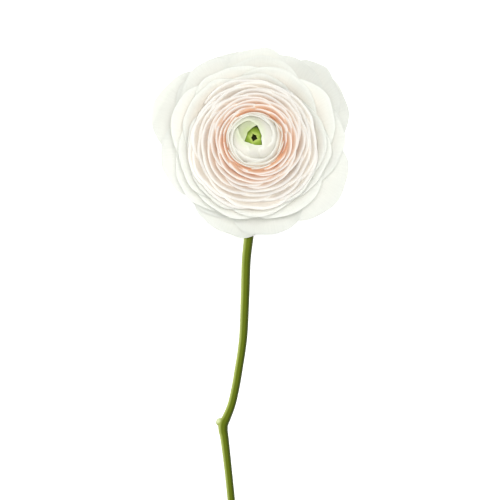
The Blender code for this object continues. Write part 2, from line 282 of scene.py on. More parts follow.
GUARDS = (
    Guard(87, 0.94, 1.01, 33),
    Guard(225, 0.97, 0.96, 33),
    Guard(2, 0.965, 0.98, 33),
    Guard(139, 0.985, 0.97, 31),
    Guard(281, 0.99, 1.03, 31),
    Guard(60, 0.995, 1.02, 33),
    Guard(193, 1.00, 1.01, 33),
    Guard(323, 1.015, 1.09, 38),
    Guard(112, 1.01, 0.98, 33),
    Guard(253, 1.03, 1.01, 33),
    Guard(41, 1.04, 1.10, 27),
    Guard(33, 1.10, 1.06, 31),
    Guard(155, 1.115, 1.08, 30),
)
GUARD_ROUNDING = 0.26

SEPAL_COUNT = 5
SEPAL_START = 18  # azimuth of the first sepal
SEPAL_LAYER = 1.20
SEPAL_TIP = 0.35  # `along` where a sepal ends
SEPAL_HALF_SPAN = 30
SEPAL_ROUNDING = 0.22


def whorl_petals(whorl, seed):
    chance = random.Random(seed)
    petals = []
    for index in range(whorl.count):
        share = index / (whorl.count - 1)
        layer = whorl.first_layer + (whorl.last_layer - whorl.first_layer) * share**whorl.crowding
        azimuth = whorl.first_azimuth + GOLDEN_ANGLE * index
        azimuth += chance.uniform(-whorl.wander, whorl.wander)
        span = whorl.inner_span + (whorl.outer_span - whorl.inner_span) * share
        rim = 1 + chance.uniform(*RIM_SCATTER)
        petals.append(Petal(layer, azimuth, span, rim, 1.0, whorl.rounding))
    return petals


def closing_petals():
    return [
        Petal(layer, azimuth, CLOSING_HALF_SPAN, 1.0, 1.0, CLOSING_ROUNDING)
        for azimuth, layer in CLOSING
    ]


def guard_petals():
    return [
        Petal(guard.layer, guard.azimuth, guard.half_span, 1.0, guard.reach, GUARD_ROUNDING)
        for guard in GUARDS
    ]


def sepals():
    azimuths = [SEPAL_START + 360 / SEPAL_COUNT * index for index in range(SEPAL_COUNT)]
    return [
        Petal(SEPAL_LAYER, azimuth, SEPAL_HALF_SPAN, SEPAL_TIP, 1.0, SEPAL_ROUNDING)
        for azimuth in azimuths
    ]


# ---------------------------------------------------------------- one petal's blade


class Blade(NamedTuple):
    """How finely a whorl's petals are cut, how thick they are and how they wave."""

    columns: int
    rows: int
    thickness: float  # at the rim
    body: float  # thickness below the rim
    wave: float
    ruffle: float  # unevenness of the rim, in `along`
    flare: float = 0.0  # how far the rim turns outwards
    weave: float = 0.0  # layers gained or lost per degree across a petal, before WEAVE_GAIN
    loosening: float = 0.0  # how much sooner, in millimetres a layer, outer petals fill out


BLADE_START = 0.03  # `along` where a blade starts, next to the receptacle
ROW_CROWDING = 1.6  # over 1 puts more of a blade's rows near its rim
IMBRICATION = 0.0002  # layers gained per degree across a petal, so each overlaps the next
CORNER_POWER = 2.6  # how near to its corners a petal's rim falls away
FLARE_FROM = 0.84  # share of a blade's length from which its rim turns outwards
WAVE_POWER = 1.5  # how near to its rim a petal waves
PHASE_DRAWS = 8  # six are used, and the two left over keep the later draws as they are
# Size of each ripple of the rim, and how fast it runs across the petal.
RUFFLES = ((1.0, 2.3), (0.6, 5.1), (0.3, 11.0))
# Size of each wave of the blade, and how fast it runs across and along the petal.
WAVES = ((1.0, 3.1, 2.0), (0.6, 6.7, -3.0), (0.35, 12.5, 5.0))

CALMEST = 0.2  # share of its ruffle that a petal has at layer 0 and inside it
CALM_GROWTH = 8  # how much more of it for each layer further out, up to all of it
WEAVE_FROM = 0.10  # layer from which petals weave more
WEAVE_GAIN = 1.8

BODY_DEPTH = 1.1  # below the rim, where a petal has its full body
BODY_POWER = 8  # how near to its sides a petal keeps its body
SIDE_POWER = 6  # how near to its sides a petal thins
SIDE_THINNING = 0.4  # share of the thickness lost at the sides
LOOSE_FROM = 0.33  # layer from which petals loosen
LOOSE_LAYERS = 0.25  # layers over which they do
LOOSE_BODY = 0.5  # share of body gained for each millimetre sooner that it fills out

LOWEST_LAYER = 1.12
LOWEST_CLEARANCE = 0.0003  # metres from the table to the lowest petals' middle surface
LAYER_LIFT = 0.008  # metres more for each layer further in

GREEN_SPOT = (-2.0, 2.6)  # X and Y of the greenest place on the heart
GREEN_REACH = 6.5  # from there to where the green ends
UV_PER_DEGREE = 0.42
UV_SCATTER = 100.0  # gives every petal veins of its own


class Surface(NamedTuple):
    """A petal's middle surface, as grids of its columns and rows."""

    points: np.ndarray  # in the scene
    across: np.ndarray  # from -1 at one side to 1 at the other
    turn: np.ndarray  # degrees from the petal's own azimuth
    layer: np.ndarray
    greened: np.ndarray  # 1 at the heart's greenest place


def rim_ruffle(petal, blade, across, phases):
    """The unevenness of a rim, which is least on the petals that close the eye."""
    calm = min(1.0, CALMEST + CALM_GROWTH * max(0.0, petal.layer))
    ripples = sum(size * np.sin(pace * across + phase) for (size, pace), phase in zip(RUFFLES, phases))
    return calm * blade.ruffle * ripples * (1 - across**4)


def blade_wave(blade, across, along, phases):
    waves = sum(
        size * np.sin(pace_across * across + pace_along * along + phase)
        for (size, pace_across, pace_along), phase in zip(WAVES, phases)
    )
    return blade.wave * waves * np.minimum(far(along), 1) ** WAVE_POWER


def middle_surface(petal, blade, chance):
    across = np.linspace(-1, 1, blade.columns + 1)[:, None]
    share = 1 - (1 - np.linspace(0, 1, blade.rows + 1)[None, :]) ** ROW_CROWDING
    phases = [chance.uniform(0, 2 * math.pi) for _ in range(PHASE_DRAWS)]
    rim = petal.rim - petal.rounding * np.abs(across) ** CORNER_POWER
    rim = rim + rim_ruffle(petal, blade, across, phases)
    along = BLADE_START + (rim - BLADE_START) * share
    turn = across * petal.half_span + 0 * share
    weave = blade.weave * (WEAVE_GAIN if petal.layer > WEAVE_FROM else 1.0)
    layer = petal.layer + (IMBRICATION + chance.uniform(-1, 1) * weave) * turn
    flare = blade.flare * np.clip((share - FLARE_FROM) / (1 - FLARE_FROM), 0, 1) ** 2
    outwards = flare + blade_wave(blade, across, along, phases[len(RUFFLES) :])
    points = bloom_points(layer, along, petal.azimuth + turn, petal.reach, outwards)
    from_spot = np.hypot(points[..., 0] - GREEN_SPOT[0], points[..., 1] - GREEN_SPOT[1])
    greened = np.clip(1 - from_spot / GREEN_REACH, 0, 1)
    clearance = LOWEST_CLEARANCE + LAYER_LIFT * max(0.0, LOWEST_LAYER - petal.layer)
    return Surface(resting(placed(points, BLOOM_TO_SCENE), clearance), across, turn, layer, greened)


def half_thickness(blade, surface, to_rim):
    """In metres: thinnest at the rim, and filled out below it until the petal meets its neighbours."""
    to_side = np.abs(surface.across)
    sooner = blade.loosening * np.clip(surface.layer - LOOSE_FROM, 0, LOOSE_LAYERS)
    filled = np.clip(to_rim / (BODY_DEPTH - sooner), 0, 1)
    filled = filled * filled * (3 - 2 * filled) * (1 - to_side**BODY_POWER)
    body = blade.body * (1 + LOOSE_BODY * sooner)
    thickness = blade.thickness + (body - blade.thickness) * filled
    return 0.5 * MM * thickness * (1 - SIDE_THINNING * to_side**SIDE_POWER)


def normals(points):
    normal = np.cross(np.gradient(points, axis=0), np.gradient(points, axis=1))
    return normal / (np.linalg.norm(normal, axis=-1, keepdims=True) + 1e-15)


def lengths_from_root(points):
    """Millimetres along the blade from its root to every point of a grid."""
    steps = np.linalg.norm(np.diff(points, axis=1), axis=-1) / MM
    return np.concatenate([np.zeros((len(points), 1)), np.cumsum(steps, axis=1)], axis=1)


def shell_faces(columns, rows):
    """The faces of two grids of points, the front one first, closed round their edge."""
    count = (columns + 1) * (rows + 1)
    index = np.arange(count).reshape(columns + 1, rows + 1)
    quads = np.stack([index[:-1, :-1], index[1:, :-1], index[1:, 1:], index[:-1, 1:]], axis=-1)
    quads = quads.reshape(-1, 4)
    edge = np.concatenate([index[:-1, 0], index[-1, :-1], index[:0:-1, -1], index[0, :0:-1]])
    following = np.roll(edge, -1)
    sides = np.stack([following, edge, edge + count, following + count], axis=-1)
    return np.concatenate([quads, quads[:, ::-1] + count, sides])


def blade_mesh(petal, blade, chance):
    """One petal as a closed thin shell: its points, faces, the values that colour it and its UVs."""
    surface = middle_surface(petal, blade, chance)
    from_root = lengths_from_root(surface.points)
    to_rim = from_root[:, -1:] - from_root
    half = normals(surface.points) * half_thickness(blade, surface, to_rim)[..., None]
    sheets = (surface.points + half, surface.points - half)
    points = np.concatenate([sheet.reshape(-1, 3) for sheet in sheets])
    values = {
        "to_rim": to_rim,
        "layer": surface.layer,
        "greened": surface.greened,
        "fresh": np.full(from_root.shape, chance.random()),
    }
    values = {name: np.tile(value.ravel(), 2) for name, value in values.items()}
    uv = np.stack([surface.turn * UV_PER_DEGREE, from_root], axis=-1).reshape(-1, 2)
    uv = np.tile(uv, (2, 1)) + chance.uniform(0, UV_SCATTER)
    return points, shell_faces(blade.columns, blade.rows), values, uv


def linked_object(name, mesh, material):
    mesh.polygons.foreach_set("use_smooth", np.ones(len(mesh.polygons), bool))
    mesh.materials.append(material)
    made = bpy.data.objects.new(name, mesh)
    bpy.context.scene.collection.objects.link(made)
    return made


def petal_object(name, petals, blade, seed, material):
    """All the petals of one colour as one mesh, with the values that their material reads."""
    chance = random.Random(seed)
    all_points, all_faces, all_values, all_uv = zip(*(blade_mesh(petal, blade, chance) for petal in petals))
    points = np.concatenate(all_points)
    offsets = np.arange(len(petals)) * len(all_points[0])
    faces = np.concatenate([faces + offset for faces, offset in zip(all_faces, offsets)])
    uv = np.concatenate(all_uv)
    mesh = bpy.data.meshes.new(name)
    mesh.vertices.add(len(points))
    mesh.vertices.foreach_set("co", points.astype(np.float32).ravel())
    mesh.loops.add(faces.size)
    mesh.loops.foreach_set("vertex_index", faces.astype(np.int32).ravel())
    mesh.polygons.add(len(faces))
    mesh.polygons.foreach_set("loop_start", np.arange(0, faces.size, 4, dtype=np.int32))
    mesh.update(calc_edges=True)
    mesh.validate()
    for key in all_values[0]:
        attribute = mesh.attributes.new(key, "FLOAT", "POINT")
        value = np.concatenate([values[key] for values in all_values])
        attribute.data.foreach_set("value", value.astype(np.float32))
    uv_layer = mesh.uv_layers.new(name="petal_mm")
    uv_layer.data.foreach_set("uv", uv[faces.ravel()].astype(np.float32).ravel())
    return linked_object(name, mesh, material)


# ---------------------------------------------------------------- materials

BUMP_DISTANCE = 0.0002  # metres


def new_material(name):
    made = bpy.data.materials.new(name)
    made.use_nodes = True
    return made


def principled(material):
    return material.node_tree.nodes["Principled BSDF"]


def node(tree, kind, **settings):
    made = tree.nodes.new(kind)
    for key, value in settings.items():
        setattr(made, key, value)
    return made


def link(tree, source, target):
    tree.links.new(source, target)


def math_node(tree, operation, first, second=None, third=None, clamped=False):
    made = node(tree, "ShaderNodeMath", operation=operation, use_clamp=clamped)
    for socket, value in zip(made.inputs, (first, second, third)):
        if value is None:
            continue
        if isinstance(value, (int, float)):
            socket.default_value = value
        else:
            link(tree, value, socket)
    return made.outputs[0]


def attribute_node(tree, name):
    return node(tree, "ShaderNodeAttribute", attribute_name=name).outputs["Fac"]


def object_place(tree):
    return node(tree, "ShaderNodeTexCoord").outputs["Object"]


def mix_colour(tree, share, first, second):
    made = node(tree, "ShaderNodeMix", data_type="RGBA")
    link(tree, share, made.inputs["Factor"])
    for socket, value in ((made.inputs[6], first), (made.inputs[7], second)):
        if isinstance(value, tuple):
            socket.default_value = (*value, 1)
        else:
            link(tree, value, socket)
    return made.outputs[2]


def noise(tree, place, scale=1.0, detail=2.0):
    made = node(tree, "ShaderNodeTexNoise")
    made.inputs["Scale"].default_value = scale
    made.inputs["Detail"].default_value = detail
    link(tree, place, made.inputs["Vector"])
    return made.outputs[0]


def stretched(tree, place, scale):
    made = node(tree, "ShaderNodeMapping")
    made.inputs["Scale"].default_value = scale
    link(tree, place, made.inputs["Vector"])
    return made.outputs[0]


def add_bump(tree, shader, height, strength):
    made = node(tree, "ShaderNodeBump")
    made.inputs["Strength"].default_value = strength
    made.inputs["Distance"].default_value = BUMP_DISTANCE
    link(tree, height, made.inputs["Height"])
    link(tree, made.outputs[0], shader.inputs["Normal"])


# ---------------------------------------------------------------- petal material


class Shades(NamedTuple):
    """What a petal material needs: linear colours and where they change."""

    rim: tuple
    middle: tuple
    depth: tuple
    edge_mm: float  # below the rim, where the rim's colour ends
    middle_mm: float
    depth_mm: float
    rim_glow: float  # share of the light that passes through the rim
    glow: float  # and through the petal below it
    fade_from: float = 0.0  # layer where the colours start to fade into the rim's
    fade_to: float = 1.0  # layer where they have faded
    fade_share: float = 0.0
    halo: float = 0.0  # how green a petal is at the heart's greenest place


EYE_GREEN = (0.50, 0.62, 0.16)
GLOW_GROWTH = 1.4  # share of the way from rim_glow to glow for each millimetre below the rim
BLUSH_PACE = 0.78  # how fast the colours follow each other below the rim, at the slowest
BLUSH_PACE_SPREAD = 0.5
VEIN_STRETCH = (2.6, 0.12, 1.0)  # finer across a petal than along it
VEIN_TONE = 0.95  # of the petal's colour at the darkest veins
VEIN_CONTRAST = 0.10
MOTTLE_SCALE = 9.0
MOTTLE_SHARE = 0.25


def blush_and_painted_light(tree, shades, to_rim):
    """A ramp of colours below the rim, which come sooner on some petals than on others: the petals' own
    peach tint, deepened by painted shade in the grooves and lifted by painted light on the outer petals
    below their rims.
    """
    ramp = node(tree, "ShaderNodeValToRGB")
    colours = ramp.color_ramp
    colours.interpolation = "LINEAR"
    colours.elements[0].position = 0.0
    colours.elements[0].color = (*shades.rim, 1)
    colours.elements.new(shades.edge_mm / shades.depth_mm).color = (*shades.rim, 1)
    colours.elements.new(shades.middle_mm / shades.depth_mm).color = (*shades.middle, 1)
    colours.elements[-1].position = 1.0
    colours.elements[-1].color = (*shades.depth, 1)
    pace = math_node(tree, "MULTIPLY_ADD", attribute_node(tree, "fresh"), BLUSH_PACE_SPREAD, BLUSH_PACE)
    share = math_node(tree, "DIVIDE", math_node(tree, "MULTIPLY", to_rim, pace), shades.depth_mm)
    link(tree, share, ramp.inputs["Fac"])
    return ramp.outputs[0]


def petal_colour(tree, shades, to_rim, veins):
    """The colour below the rim with its painted light and shade, faded by layer, greened round the eye and
    toned by the veins.
    """
    slope = 1 / (shades.fade_to - shades.fade_from)
    layer = attribute_node(tree, "layer")
    faded = math_node(tree, "MULTIPLY_ADD", layer, slope, -shades.fade_from * slope, clamped=True)
    faded = math_node(tree, "MULTIPLY", faded, shades.fade_share)
    colour = mix_colour(tree, faded, blush_and_painted_light(tree, shades, to_rim), shades.rim)
    halo = math_node(tree, "MULTIPLY", attribute_node(tree, "greened"), shades.halo)
    colour = mix_colour(tree, halo, colour, EYE_GREEN)
    toned = node(tree, "ShaderNodeVectorMath", operation="SCALE")
    link(tree, colour, toned.inputs[0])
    link(tree, math_node(tree, "MULTIPLY_ADD", veins, VEIN_CONTRAST, VEIN_TONE), toned.inputs["Scale"])
    return toned.outputs[0]


def petal_material(name, shades):
    """Fine veins run from root to rim under a faint mottle, and light passes through."""
    made = new_material(name)
    tree = made.node_tree
    shader = principled(made)
    shader.inputs["Roughness"].default_value = 0.5
    shader.inputs["Specular IOR Level"].default_value = 0.35
    to_rim = attribute_node(tree, "to_rim")
    place = node(tree, "ShaderNodeUVMap", uv_map="petal_mm").outputs[0]
    veins = noise(tree, stretched(tree, place, VEIN_STRETCH), detail=3.0)
    mottle = noise(tree, place, MOTTLE_SCALE)
    height = math_node(tree, "MULTIPLY_ADD", mottle, MOTTLE_SHARE, veins)
    add_bump(tree, shader, height, strength=0.22)
    colour = petal_colour(tree, shades, to_rim, veins)
    through = node(tree, "ShaderNodeBsdfTranslucent")
    for surface, socket in ((shader, "Base Color"), (through, "Color")):
        link(tree, colour, surface.inputs[socket])
    inside = math_node(tree, "MULTIPLY", to_rim, GLOW_GROWTH, clamped=True)
    deeper = shades.glow - shades.rim_glow
    glow = math_node(tree, "MULTIPLY_ADD", inside, deeper, shades.rim_glow)
    blend = node(tree, "ShaderNodeMixShader")
    for source, socket in zip((glow, shader.outputs[0], through.outputs[0]), blend.inputs):
        link(tree, source, socket)
    link(tree, blend.outputs[0], tree.nodes["Material Output"].inputs["Surface"])
    return made


# ---------------------------------------------------------------- petals


def finish_piece(piece, node_name):
    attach(piece, "root")
    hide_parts(node_name)


def make_outer_petals():
    blade = Blade(columns=44, rows=30, thickness=0.22, body=0.55, wave=0.20, ruffle=0.017)
    shades = Shades(
        rim=(0.848, 0.858, 0.822),
        # Painted light: lighter below the rim than at it, to lift the shade cast by the petals above;
        # warmer towards the root, the petal's own tint.
        middle=(0.92, 0.88, 0.815),
        depth=(0.92, 0.82, 0.73),
        edge_mm=1,
        middle_mm=5,
        depth_mm=16,
        rim_glow=0.50,
        glow=0.55,
        fade_from=0.70,
        fade_to=1.00,
        fade_share=0.88,
    )
    petals = whorl_petals(OUTER, seed=7) + guard_petals()
    made = petal_object("outer_petals_fine", petals, blade, 21, petal_material("ivory_petal", shades))
    finish_piece(made, "outer_petals")


def make_blush_petals():
    blade = Blade(
        columns=32,
        rows=20,
        thickness=0.22,
        body=1.5,
        wave=0.07,
        ruffle=0.016,
        flare=0.70,
        weave=0.00045,
        loosening=3.2,
    )
    shades = Shades(
        rim=(0.96, 0.95, 0.91),
        # The petal's own peach, deepened below the rim into painted warm shade in the grooves between the
        # petals.
        middle=(0.96, 0.72, 0.53),
        depth=(0.94, 0.53, 0.30),
        edge_mm=0.25,
        middle_mm=0.6,
        depth_mm=1.5,
        rim_glow=0.32,
        glow=0.78,
        fade_from=0.30,
        fade_to=0.55,
        fade_share=0.90,
    )
    petals = whorl_petals(BLUSH, seed=11)
    made = petal_object("blush_petals_fine", petals, blade, 22, petal_material("blush_petal", shades))
    finish_piece(made, "blush_petals")


def make_heart_petals():
    """The closed ball, whose colours fade inwards, from its foot to its crown."""
    blade = Blade(
        columns=40,
        rows=26,
        thickness=0.24,
        body=1.00,
        wave=0.07,
        ruffle=0.014,
        flare=0.4,
        weave=0.0007,
    )
    shades = Shades(
        rim=(0.94, 0.94, 0.88),
        # The petal's own peach, deepened below the rim into painted warm shade in the grooves round the
        # ball.
        middle=(0.96, 0.80, 0.62),
        depth=(0.97, 0.58, 0.34),
        edge_mm=0.4,
        middle_mm=0.9,
        depth_mm=2.2,
        rim_glow=0.28,
        glow=0.44,
        fade_from=0.22,
        fade_to=0.12,
        fade_share=0.96,
        halo=0.8,
    )
    petals = closing_petals() + whorl_petals(HEART, seed=5)
    made = petal_object("heart_petals_fine", petals, blade, 23, petal_material("cream_petal", shades))
    finish_piece(made, "heart_petals")


def make_eye_petals():
    blade = Blade(columns=30, rows=24, thickness=0.30, body=0.40, wave=0.03, ruffle=0.01)
    shades = Shades(
        rim=EYE_GREEN,
        middle=(0.29, 0.42, 0.06),
        depth=(0.14, 0.22, 0.02),
        edge_mm=0.2,
        middle_mm=1.5,
        depth_mm=6,
        rim_glow=0.2,
        glow=0.2,
    )
    petals = whorl_petals(EYE, seed=3)
    made = petal_object("eye_petals_fine", petals, blade, 24, petal_material("green_petal", shades))
    finish_piece(made, "eye_petals")


def make_calyx():
    """Five small sepals spread under the bloom."""
    blade = Blade(columns=24, rows=14, thickness=0.35, body=0.50, wave=0.10, ruffle=0.004)
    shades = Shades(
        rim=(0.30, 0.36, 0.12),
        middle=(0.20, 0.28, 0.06),
        depth=(0.15, 0.21, 0.04),
        edge_mm=0.5,
        middle_mm=3,
        depth_mm=9,
        rim_glow=0.15,
        glow=0.15,
    )
    made = petal_object("calyx_fine", sepals(), blade, 25, petal_material("sepal", shades))
    finish_piece(made, "calyx")


# ---------------------------------------------------------------- tubes and turned forms

AXIS_RADIUS = 0.01  # of the small face that closes a turned form on its axis


def circle(sides):
    return np.linspace(0, 2 * math.pi, sides, endpoint=False)


def turned(outline, sides):
    """Points of a section of (radius, height) turned round the bloom's axis, ring after ring."""
    angle = circle(sides)
    rings = [
        np.stack([radius * np.cos(angle), radius * np.sin(angle), np.full(sides, height)], axis=-1)
        for radius, height in outline
    ]
    return np.concatenate(rings)


def tube_faces(rings, sides, first=0):
    """The faces of a closed tube through rings of points, of which `first` is the first point."""
    faces = []
    for ring in range(rings - 1):
        for k in range(sides):
            a, b = ring * sides + k, ring * sides + (k + 1) % sides
            faces.append((a, b, b + sides, a + sides))
    faces.append(tuple(range(sides))[::-1])
    faces.append(tuple((rings - 1) * sides + k for k in range(sides)))
    return [tuple(first + corner for corner in face) for face in faces]


def mesh_object(name, points, faces, material):
    mesh = bpy.data.meshes.new(name)
    mesh.from_pydata([tuple(point) for point in points], [], faces)
    mesh.update()
    return linked_object(name, mesh, material)


# ---------------------------------------------------------------- carpels

CARPEL_COUNT = 34
CARPEL_SIDES = 7
CARPEL_DRIFT = (-0.25, 0.6)  # X and Y of the carpels' middle
CARPEL_LEAN = 100  # degrees from the axis of the lowest beak
CARPEL_LEAN_POWER = 0.6  # under 1 makes the upper beaks lean sooner
HEAD_HEIGHT = 18.2  # of the head's middle, for the topmost beak
HEAD_FALL = 2.2  # from there to its middle for the lowest beak
HEAD_RADII = (0.62, 0.62, 0.5)  # of the head that the beaks stand on
BEAK_LENGTH = 0.55
BEAK_LIFT = 0.35  # how much further up the topmost beak's tip is drawn
BEAK_ASIDE = (0.3, 0.9, 0.1)  # a direction that no beak points in
# Share of a beak's length and radius of each of its rings.
BEAK = ((0.0, 0.24), (0.45, 0.27), (0.8, 0.14), (1.0, 0.03))
# Radius and height of the column that the beaks stand on.
COLUMN = (
    (AXIS_RADIUS, 12.9),
    (0.8, 12.9),
    (1.1, 13.8),
    (1.1, 16.5),
    (0.8, 18.0),
    (0.3, 18.6),
    (AXIS_RADIUS, 18.7),
)
COLUMN_SIDES = 20

CARPEL_DARK = (0.012, 0.013, 0.006)
CARPEL_PALE = (0.06, 0.07, 0.02)
CARPEL_SPECKLE = 1500.0


def carpel_material():
    made = new_material("carpel")
    tree = made.node_tree
    shader = principled(made)
    speckle = noise(tree, object_place(tree), CARPEL_SPECKLE)
    link(tree, mix_colour(tree, speckle, CARPEL_DARK, CARPEL_PALE), shader.inputs["Base Color"])
    shader.inputs["Roughness"].default_value = 0.45
    return made


def beak_points(index):
    """The rings of one carpel's pointed beak."""
    share = (index + 0.5) / CARPEL_COUNT
    lean = math.radians(CARPEL_LEAN * share**CARPEL_LEAN_POWER)
    azimuth = math.radians(GOLDEN_ANGLE * index)
    level = math.sin(lean)
    ahead = np.array((math.cos(azimuth) * level, math.sin(azimuth) * level, math.cos(lean)))
    foot = ahead * HEAD_RADII + (*CARPEL_DRIFT, HEAD_HEIGHT - HEAD_FALL * share)
    to_tip = ahead * BEAK_LENGTH + (0, 0, BEAK_LIFT * (1 - share))
    side = np.cross(ahead, BEAK_ASIDE)
    side /= np.linalg.norm(side)
    angle = circle(CARPEL_SIDES)[:, None]
    ring = np.cos(angle) * side + np.sin(angle) * np.cross(ahead, side)
    return np.concatenate([foot + to_tip * along + ring * radius for along, radius in BEAK])


def make_carpels():
    """The dark head of unripe carpels down the eye's opening: many small pointed beaks."""
    points = np.concatenate([beak_points(index) for index in range(CARPEL_COUNT)])
    per_beak = len(BEAK) * CARPEL_SIDES
    faces = []
    for index in range(CARPEL_COUNT):
        faces += tube_faces(len(BEAK), CARPEL_SIDES, first=index * per_beak)
    faces += tube_faces(len(COLUMN), COLUMN_SIDES, first=len(points))
    points = np.concatenate([points, turned(COLUMN, COLUMN_SIDES)])
    made = mesh_object("carpels_fine", placed(points, BLOOM_TO_SCENE), faces, carpel_material())
    finish_piece(made, "carpels")


# ---------------------------------------------------------------- stem

NECK_START = -4.5  # height in the bloom's axis where the stem's centre line starts
NECK_STEPS = 7
STEM_SIDES = 28
STEM_STEPS = 5  # rings from one point of the centre line to the next
RIB_COUNT = 7
RIB_HEIGHT = 0.012  # as a share of the stem's radius
FLAT_DEPTH = 0.14  # how deep the stem's underside is pressed flat
STEM_CLEARANCE = 0.00002  # metres above the table
# The stem's centre line on the table, as X, Y and radius, from under the bloom to the cut end.
STEM_RUN = (
    (-0.6, -14.0, 1.95),
    (-1.5, -24.0, 1.95),
    (-2.4, -35.3, 1.90),
    (-3.4, -44.8, 1.80),
    (-3.8, -56.6, 1.75),
    (-4.4, -72.3, 1.65),
    (-5.2, -80.2, 1.60),
    (-6.3, -87.2, 1.60),
    (-7.5, -94.3, 1.60),
    (-9.1, -101.4, 1.60),
    (-11.0, -106.4, 1.70),
    (-12.4, -109.3, 1.95),
    (-12.5, -111.8, 1.85),
    (-12.1, -114.0, 1.70),
    (-11.5, -118.7, 1.60),
    (-10.5, -127.4, 1.50),
    (-9.3, -139.2, 1.50),
    (-8.4, -149.0, 1.50),
    (-7.9, -159.5, 1.50),
)
STUB_CENTRE = (-13.7, -108.6)  # X and Y of the healed side shoot on the stem's joint
STUB_RADIUS = 1.62
STUB_SCALE = (1.0, 1.0, 0.96)
# The stub's painted highlight and painted shade, from the side that is painted as lit.
STUB_LIT_SIDE = (-0.62, 0.42, 0.66)
STUB_FLANK = 0.25  # painted light on the stub: the flank value of its middle
STUB_FLANK_GROWTH = 0.85  # and how much more painted light towards its lit side, from its middle

# The receptacle's skin lies a little under the petals' roots, from one layer to the other.
CONE_TOP_LAYER = -0.15
CONE_FOOT_LAYER = 1.25
CONE_SIDES = 32
CONE_INSET = 0.35
CONE_TOP_INSET = 0.95
CONE_TOP_RISE = 0.3
# Share of the foot's radius, and how far below the foot, down to where the stalk leaves it.
CONE_UNDERSIDE = ((0.86, 0.8), (0.66, 1.5), (0.45, 1.9))
CONE_DEPTH = 2.1  # below the foot

STREAK_STRETCH = (1400, 60, 1400)  # finer across the stalk than along it
PATCH_SCALE = 55.0
# How fast each noise brings in its colour, and the share where the noise is 0.
STREAK_SHARE = (0.7, -0.05)
PATCH_SHARE = (0.8, -0.2)
STALK_DARK = (0.080, 0.110, 0.006)
STALK_PALE = (0.125, 0.165, 0.012)
STALK_PATCH = (0.085, 0.105, 0.012)
# Painted light and shade across the stalk: a painted lit flank, a painted waxy highlight at its edge, and
# painted shade on the far flank.
# How fast each colour comes in across the stalk, from what share in its middle, and the colour.
PAINTED_LIGHT_ACROSS_STALK = (
    (2.2, -0.6, (0.34, 0.40, 0.10)),
    (4.0, -3.1, (0.58, 0.64, 0.36)),
    (-2.2, -0.35, (0.034, 0.050, 0.002)),
)


def stem_material():
    """Streaked green, with painted yellow light and a painted waxy highlight down the flank towards the
    light, and painted shade on the other.
    """
    made = new_material("stalk")
    tree = made.node_tree
    shader = principled(made)
    shader.inputs["Roughness"].default_value = 0.42
    shader.inputs["Specular IOR Level"].default_value = 0.06
    place = object_place(tree)
    streaks = noise(tree, stretched(tree, place, STREAK_STRETCH), detail=4.0)
    add_bump(tree, shader, streaks, strength=0.25)
    share = math_node(tree, "MULTIPLY_ADD", streaks, *STREAK_SHARE)
    green = mix_colour(tree, share, STALK_DARK, STALK_PALE)
    flank = attribute_node(tree, "flank")
    # Painted light, a painted highlight and painted shade, by how far round towards the light each point
    # is.
    for pace, start, colour in PAINTED_LIGHT_ACROSS_STALK:
        share = math_node(tree, "MULTIPLY_ADD", flank, pace, start, clamped=True)
        green = mix_colour(tree, share, green, colour)
    share = math_node(tree, "MULTIPLY_ADD", noise(tree, place, PATCH_SCALE), *PATCH_SHARE)
    link(tree, mix_colour(tree, share, green, STALK_PATCH), shader.inputs["Base Color"])
    return made


def stem_line():
    """Centres and radii down the stem: the bend that lays it down, then its run on the table."""
    lean = math.radians(BLOOM_TILT)
    start_y = math.sin(lean) * NECK_START
    start_z = BLOOM_HEIGHT + math.cos(lean) * NECK_START
    radius = STEM_RUN[0][2]
    bend = (start_z - radius + FLAT_DEPTH) / (1 - math.sin(lean))
    line = []
    for step in range(NECK_STEPS + 1):
        turn = lean + (math.pi / 2 - lean) * step / NECK_STEPS
        back = bend * (math.cos(lean) - math.cos(turn))
        down = bend * (math.sin(turn) - math.sin(lean))
        line.append((0, start_y - back, start_z - down, radius))
    line += [(x, y, radius - FLAT_DEPTH, radius) for x, y, radius in STEM_RUN]
    return np.array(line)


def smooth_line(line, steps):
    """A rounded run through every point of the line, with even steps between them."""
    before = np.vstack([2 * line[0] - line[1], line[:-1]])
    after = np.vstack([line[1:], 2 * line[-1] - line[-2]])
    slope = 0.5 * (after - before)
    t = np.linspace(0, 1, steps, endpoint=False)[:, None]
    spans = [
        (2 * t**3 - 3 * t**2 + 1) * line[index]
        + (t**3 - 2 * t**2 + t) * slope[index]
        + (-2 * t**3 + 3 * t**2) * line[index + 1]
        + (t**3 - t**2) * slope[index + 1]
        for index in range(len(line) - 1)
    ]
    return np.vstack(spans + [line[-1:]])


def sweep(line, sides):
    """Rings of points round the line, with shallow ribs along them."""
    centre, radius = line[:, :3], line[:, 3]
    tangent = np.gradient(centre, axis=0)
    tangent /= np.linalg.norm(tangent, axis=1, keepdims=True)
    side = np.array((1.0, 0.0, 0.0))
    angle = circle(sides)[:, None]
    ribs = 1 + RIB_HEIGHT * np.cos(RIB_COUNT * angle)
    rings = []
    for middle, ahead, size in zip(centre, tangent, radius):
        side = side - ahead * np.dot(side, ahead)
        side /= np.linalg.norm(side)
        ring = np.cos(angle) * side + np.sin(angle) * np.cross(ahead, side)
        rings.append(middle + ring * (size * ribs))
    return np.array(rings)


def add_flank(piece, flank):
    """Tells the material how far round towards the light each point is: about 1 on the lit flank."""
    attribute = piece.data.attributes.new("flank", "FLOAT", "POINT")
    attribute.data.foreach_set("value", flank.astype(np.float32))


def make_stalk(material):
    line = smooth_line(stem_line(), STEM_STEPS)
    rings = sweep(line, STEM_SIDES)
    laid = resting(placed(rings.reshape(-1, 3), TABLE_TO_SCENE), STEM_CLEARANCE)
    made = mesh_object("stem_fine", laid, tube_faces(len(rings), STEM_SIDES), material)
    centre_x, radius = line[:, :1], line[:, 3:]
    add_flank(made, ((centre_x - rings[..., 0]) / radius).ravel())
    return made


